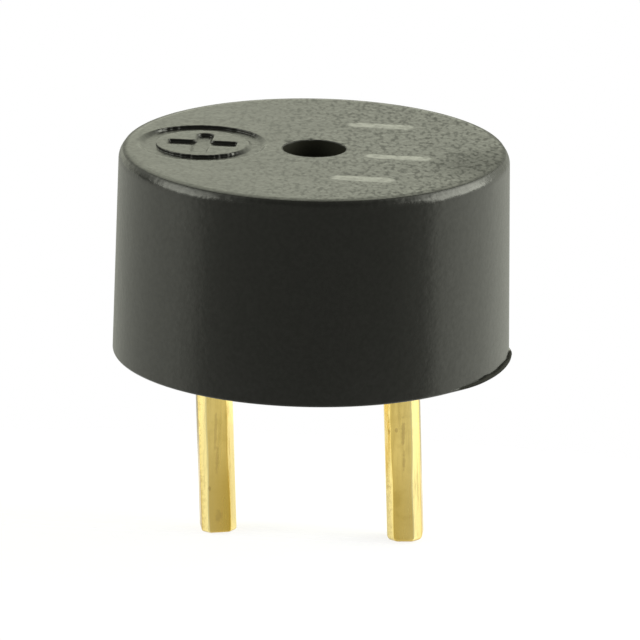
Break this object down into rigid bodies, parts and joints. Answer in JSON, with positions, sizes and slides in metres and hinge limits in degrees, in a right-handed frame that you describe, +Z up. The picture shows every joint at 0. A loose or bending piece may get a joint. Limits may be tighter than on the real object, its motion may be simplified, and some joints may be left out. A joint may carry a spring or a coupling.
{
  "type": "magnetic buzzer",
  "caption": "Low round magnetic buzzer for a circuit board: a moulded black cup with a sound hole, closed by resin, standing on square gold-plated pins.",
  "frame": {"origin": "on the seating plane, where the rim of the case meets the circuit board, on the axis of the case and midway between the pins", "axes": "+Z up along the axis of the case, out through the sound hole; +X away from the positive pin, which stands below the plus sign in the roof; +Y makes the frame right-handed"},
  "size_m": [0.0091, 0.009, 0.0092],
  "materials": {
    "case_plastic": "matte",
    "ring_plastic": "satin",
    "steel": "satin",
    "ferrite": "matte",
    "enamelled_copper": "gloss",
    "laminate": "satin",
    "gold_plate": "polished",
    "solder": "gloss",
    "resin": "gloss"
  },
  "bodies": {
    "root": {"case": "case_plastic", "support_ring": "ring_plastic", "diaphragm": "steel", "diaphragm_weight": "steel", "magnet_ring": "ferrite", "coil": "enamelled_copper", "core": "steel", "yoke_plate": "steel", "base_board": "laminate", "pin_positive": "gold_plate", "pin_negative": "gold_plate", "solder_positive": "solder", "solder_negative": "solder", "coil_lead_positive": "enamelled_copper", "coil_lead_negative": "enamelled_copper", "sealing_resin": "resin"}
  },
  "joints": []
}
